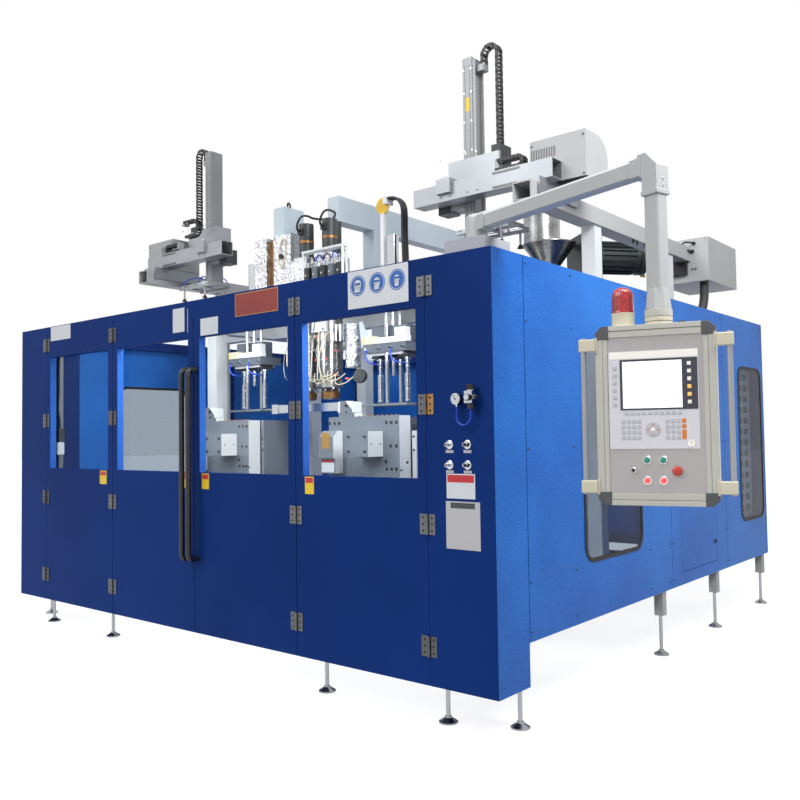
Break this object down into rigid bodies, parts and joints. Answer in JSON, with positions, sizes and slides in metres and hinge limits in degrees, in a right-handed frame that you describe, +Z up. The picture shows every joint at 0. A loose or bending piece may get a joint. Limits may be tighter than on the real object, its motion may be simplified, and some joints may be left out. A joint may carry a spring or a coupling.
{
  "type": "blow moulding machine",
  "caption": "Twin-station blow moulding machine in a blue safety enclosure, with folding front doors, a swinging operator pendant, overhead extruder and handling robots.",
  "frame": {"origin": "on the floor under the middle of the enclosure, at the underside of the central levelling foot", "axes": "+Z up, -Y towards the operator in front of the doors, +X to the right along the doors, to the pendant side"},
  "size_m": [5.9759, 4.602, 4.1099],
  "materials": {
    "blue_paint": "semi-gloss",
    "blue_texture": "fine texture",
    "frame_blue": "semi-gloss",
    "clear_pane": "clear",
    "tinted_pane": "clear",
    "gasket_rubber": "matt",
    "foot_steel": "zinc plated",
    "hinge_steel": "satin",
    "handle_black": "satin",
    "fitting_chrome": "polished",
    "hose_blue": "satin",
    "hose_black": "satin",
    "pendant_grey": "satin",
    "housing_grey": "fine texture",
    "keypad_film": "satin",
    "button_green": "gloss",
    "stop_red": "gloss",
    "beacon_red": "gloss",
    "machine_white": "semi-gloss",
    "machine_grey": "semi-gloss",
    "platen_steel": "machined",
    "bright_steel": "polished",
    "rail_steel": "ground",
    "head_steel": "machined",
    "foil": "crumpled foil",
    "heater_steel": "satin",
    "motor_dark": "satin",
    "beam_grey": "satin",
    "robot_white": "satin",
    "robot_alloy": "anodised",
    "mast_grey": "anodised",
    "chain_black": "matt"
  },
  "bodies": {
    "machine": {"base_frame": "frame_blue", "levelling_feet": "foot_steel", "corner_columns": "blue_paint", "frame_hinges": "hinge_steel", "right_panels": "blue_texture", "left_panels": "blue_texture", "rear_panels": "blue_texture", "side_window_panes": "tinted_pane", "side_window_gaskets": "gasket_rubber", "air_service_unit": "fitting_chrome", "air_hose": "hose_blue", "arm_base": "pendant_grey", "clamp_rails": "rail_steel", "die_head": "head_steel", "foil_boxes": "foil", "extruder_barrel": "heater_steel", "hopper": "bright_steel", "extruder_drive": "motor_dark", "top_beam": "beam_grey", "blow_frame": "machine_white", "robot_beams": "robot_white", "control_box": "robot_white", "head_hoses": "hose_black", "box_conduit": "hose_black"},
    "door_a": {"door_leaf_a": "blue_paint", "door_window_a": "clear_pane"},
    "door_b": {"door_leaf_b": "blue_paint", "door_window_b": "clear_pane", "door_handle_b": "handle_black"},
    "door_c": {"door_leaf_c": "blue_paint", "door_window_c": "clear_pane", "door_handle_c": "handle_black"},
    "door_d": {"door_leaf_d": "blue_paint", "door_window_d": "clear_pane"},
    "service_door": {"service_door": "blue_texture"},
    "service_latch": {"service_latch": "hinge_steel"},
    "pendant_arm": {"pendant_arm": "pendant_grey"},
    "pendant": {"pendant_housing": "housing_grey", "keypad_panel": "keypad_film", "beacon": "beacon_red"},
    "emergency_stop": {"emergency_stop": "stop_red"},
    "push_button_left": {"push_button_left": "button_green"},
    "push_button_right": {"push_button_right": "button_green"},
    "key_switch": {"key_switch": "hinge_steel"},
    "bridge_left": {"bridge_left": "robot_white"},
    "arm_carriage_left": {"arm_carriage_left": "robot_alloy", "arm_chain_left": "chain_black"},
    "arm_mast_left": {"arm_mast_left": "mast_grey"},
    "clamp_left": {"clamp_carriage_left": "machine_grey"},
    "front_platen_left": {"front_platen_left": "platen_steel"},
    "rear_platen_left": {"rear_platen_left": "platen_steel"},
    "blow_head_left": {"blow_head_left": "machine_grey"},
    "bridge_right": {"bridge_right": "robot_white"},
    "arm_carriage_right": {"arm_carriage_right": "robot_alloy", "arm_chain_right": "chain_black"},
    "arm_mast_right": {"arm_mast_right": "mast_grey"},
    "clamp_right": {"clamp_carriage_right": "machine_grey"},
    "front_platen_right": {"front_platen_right": "platen_steel"},
    "rear_platen_right": {"rear_platen_right": "platen_steel"},
    "blow_head_right": {"blow_head_right": "machine_grey"}
  },
  "joints": [
    {"name": "door_d_swing", "type": "hinge", "parent": "machine", "child": "door_d", "pos_m": [1.964, -2.133, 0], "axis": [0, 0, 1], "range_deg": [0, 90]},
    {"name": "door_c_fold", "type": "hinge", "parent": "door_d", "child": "door_c", "pos_m": [0.982, -2.133, 0], "axis": [0, 0, 1], "range_deg": [0, 150]},
    {"name": "door_a_swing", "type": "hinge", "parent": "machine", "child": "door_a", "pos_m": [-1.964, -2.133, 0], "axis": [0, 0, -1], "range_deg": [0, 90]},
    {"name": "door_b_fold", "type": "hinge", "parent": "door_a", "child": "door_b", "pos_m": [-0.982, -2.133, 0], "axis": [0, 0, -1], "range_deg": [0, 150]},
    {"name": "service_door_swing", "type": "hinge", "parent": "machine", "child": "service_door", "pos_m": [2.3734, 0.204, 0], "axis": [0, 0, -1], "range_deg": [0, 90]},
    {"name": "service_latch_turn", "type": "hinge", "parent": "service_door", "child": "service_latch", "pos_m": [2.38, 0.841, 0.654], "axis": [1, 0, 0], "range_deg": [0, 90]},
    {"name": "pendant_arm_swivel", "type": "hinge", "parent": "machine", "child": "pendant_arm", "pos_m": [2.215, -2, 0], "axis": [0, 0, 1], "range_deg": [-45, 45]},
    {"name": "pendant_swivel", "type": "hinge", "parent": "pendant_arm", "child": "pendant", "pos_m": [3.29546, -2.30982, 0], "axis": [0, 0, 1], "range_deg": [-40, 40]},
    {"name": "emergency_stop_press", "type": "slide", "parent": "pendant", "child": "emergency_stop", "axis": [-0.2924, 0.9563, 0], "range_m": [0, 0.005]},
    {"name": "push_button_left_press", "type": "slide", "parent": "pendant", "child": "push_button_left", "axis": [-0.2924, 0.9563, 0], "range_m": [0, 0.005], "stiffness_N_per_m": 400},
    {"name": "push_button_right_press", "type": "slide", "parent": "pendant", "child": "push_button_right", "axis": [-0.2924, 0.9563, 0], "range_m": [0, 0.005], "stiffness_N_per_m": 400},
    {"name": "key_switch_turn", "type": "hinge", "parent": "pendant", "child": "key_switch", "pos_m": [3.21259, -2.39789, 1.328], "axis": [0.2924, -0.9563, 0], "range_deg": [0, 90]},
    {"name": "bridge_left_travel", "type": "slide", "parent": "machine", "child": "bridge_left", "axis": [0, 1, 0], "range_m": [0, 0.9]},
    {"name": "arm_left_cross", "type": "slide", "parent": "bridge_left", "child": "arm_carriage_left", "axis": [1, 0, 0], "range_m": [-0.2, 0.2]},
    {"name": "arm_left_lift", "type": "slide", "parent": "arm_carriage_left", "child": "arm_mast_left", "axis": [0, 0, 1], "range_m": [-0.8, 0], "deforming": ["arm_chain_left"]},
    {"name": "clamp_left_shift", "type": "slide", "parent": "machine", "child": "clamp_left", "axis": [1, 0, 0], "range_m": [0, 0.76]},
    {"name": "front_platen_left_close", "type": "slide", "parent": "clamp_left", "child": "front_platen_left", "axis": [0, 1, 0], "range_m": [0, 0.12]},
    {"name": "rear_platen_left_close", "type": "slide", "parent": "clamp_left", "child": "rear_platen_left", "axis": [0, 1, 0], "range_m": [-0.12, 0]},
    {"name": "blow_head_left_lower", "type": "slide", "parent": "machine", "child": "blow_head_left", "axis": [0, 0, 1], "range_m": [-0.25, 0]},
    {"name": "bridge_right_travel", "type": "slide", "parent": "machine", "child": "bridge_right", "axis": [0, 1, 0], "range_m": [0, 0.9]},
    {"name": "arm_right_cross", "type": "slide", "parent": "bridge_right", "child": "arm_carriage_right", "axis": [-1, 0, 0], "range_m": [-0.2, 0.2]},
    {"name": "arm_right_lift", "type": "slide", "parent": "arm_carriage_right", "child": "arm_mast_right", "axis": [0, 0, 1], "range_m": [-0.8, 0], "deforming": ["arm_chain_right"]},
    {"name": "clamp_right_shift", "type": "slide", "parent": "machine", "child": "clamp_right", "axis": [1, 0, 0], "range_m": [-0.76, 0]},
    {"name": "front_platen_right_close", "type": "slide", "parent": "clamp_right", "child": "front_platen_right", "axis": [0, 1, 0], "range_m": [0, 0.12]},
    {"name": "rear_platen_right_close", "type": "slide", "parent": "clamp_right", "child": "rear_platen_right", "axis": [0, 1, 0], "range_m": [-0.12, 0]},
    {"name": "blow_head_right_lower", "type": "slide", "parent": "machine", "child": "blow_head_right", "axis": [0, 0, 1], "range_m": [-0.25, 0]}
  ],
  "couplings": [
    {"joint": "rear_platen_left_close", "follows": "front_platen_left_close", "ratio": -1},
    {"joint": "rear_platen_right_close", "follows": "front_platen_right_close", "ratio": -1}
  ]
}
